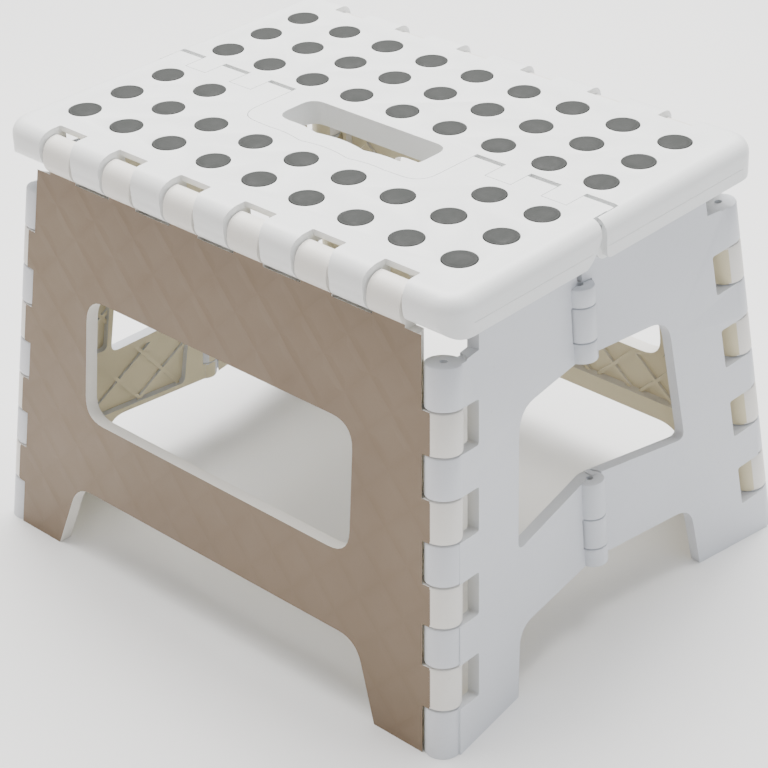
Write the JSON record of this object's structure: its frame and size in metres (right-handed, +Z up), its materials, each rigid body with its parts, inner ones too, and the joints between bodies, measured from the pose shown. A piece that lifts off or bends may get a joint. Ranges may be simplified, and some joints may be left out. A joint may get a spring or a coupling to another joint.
{
  "type": "folding step stool",
  "caption": "Low folding step stool whose two-part seat and end panels fold flat between splayed side panels, with round grip pads and a carry slot in the seat.",
  "frame": {"origin": "on the floor, under the middle of the seat", "axes": "+X along the seat's long side, +Y from the front side panel to the rear one, +Z up"},
  "size_m": [0.3096, 0.255, 0.2204],
  "materials": {
    "seat_shell": "moulded polypropylene, satin",
    "side_panel": "moulded polypropylene, satin",
    "end_panel": "moulded polypropylene, satin",
    "grip": "fine pebble texture",
    "steel_rod": "drawn wire"
  },
  "bodies": {
    "side_front": {"side_panel_front": "side_panel", "corner_rod_right_front": "steel_rod", "corner_rod_left_front": "steel_rod", "seat_edge_rod_front": "steel_rod"},
    "seat_front": {"seat_front_half": "seat_shell", "grip_insert_front": "grip", "seat_centre_rod_left": "steel_rod", "seat_centre_rod_right": "steel_rod"},
    "end_right_front": {"end_panel_right_front": "end_panel", "end_pin_right_upper": "steel_rod", "end_pin_right_lower": "steel_rod"},
    "end_right_rear": {"end_panel_right_rear": "end_panel"},
    "end_left_front": {"end_panel_left_front": "end_panel", "end_pin_left_upper": "steel_rod", "end_pin_left_lower": "steel_rod"},
    "end_left_rear": {"end_panel_left_rear": "end_panel"},
    "side_rear": {"side_panel_rear": "side_panel", "corner_rod_right_rear": "steel_rod", "corner_rod_left_rear": "steel_rod", "seat_edge_rod_rear": "steel_rod"},
    "seat_rear": {"seat_rear_half": "seat_shell", "grip_insert_rear": "grip"}
  },
  "joints": [
    {"name": "fold", "type": "hinge", "parent": "side_front", "child": "end_right_front", "pos_m": [0.13617, -0.10547, 0.11], "axis": [-0.0816, 0.1212, 0.9893], "range_deg": [0, 81.8]},
    {"name": "end_right_centre", "type": "hinge", "parent": "end_right_front", "child": "end_right_rear", "pos_m": [0.12988, 0, 0.11], "axis": [0.075, 0, -0.9972], "range_deg": [0, 162.53]},
    {"name": "corner_right_rear", "type": "hinge", "parent": "end_right_rear", "child": "side_rear", "pos_m": [0.13617, 0.10547, 0.11], "axis": [-0.0816, -0.1212, 0.9893], "range_deg": [0, 81.8]},
    {"name": "corner_left_front", "type": "hinge", "parent": "side_front", "child": "end_left_front", "pos_m": [-0.13617, -0.10547, 0.11], "axis": [-0.0816, -0.1212, -0.9893], "range_deg": [0, 81.8]},
    {"name": "end_left_centre", "type": "hinge", "parent": "end_left_front", "child": "end_left_rear", "pos_m": [-0.12988, 0, 0.11], "axis": [0.075, 0, 0.9972], "range_deg": [0, 162.53]},
    {"name": "seat_front_edge", "type": "hinge", "parent": "side_front", "child": "seat_front", "pos_m": [0, -0.098, 0.206], "axis": [1, 0, 0], "range_deg": [0, 77.81]},
    {"name": "seat_rear_edge", "type": "hinge", "parent": "side_rear", "child": "seat_rear", "pos_m": [0, 0.098, 0.206], "axis": [-1, 0, 0], "range_deg": [0, 77.81]}
  ],
  "couplings": [
    {"joint": "end_right_centre", "follows": "fold", "ratio": 1.9869},
    {"joint": "corner_right_rear", "follows": "fold", "ratio": 1},
    {"joint": "corner_left_front", "follows": "fold", "ratio": 1},
    {"joint": "end_left_centre", "follows": "fold", "ratio": 1.9869},
    {"joint": "seat_front_edge", "follows": "fold", "ratio": 0.95126},
    {"joint": "seat_rear_edge", "follows": "fold", "ratio": 0.95126}
  ]
}
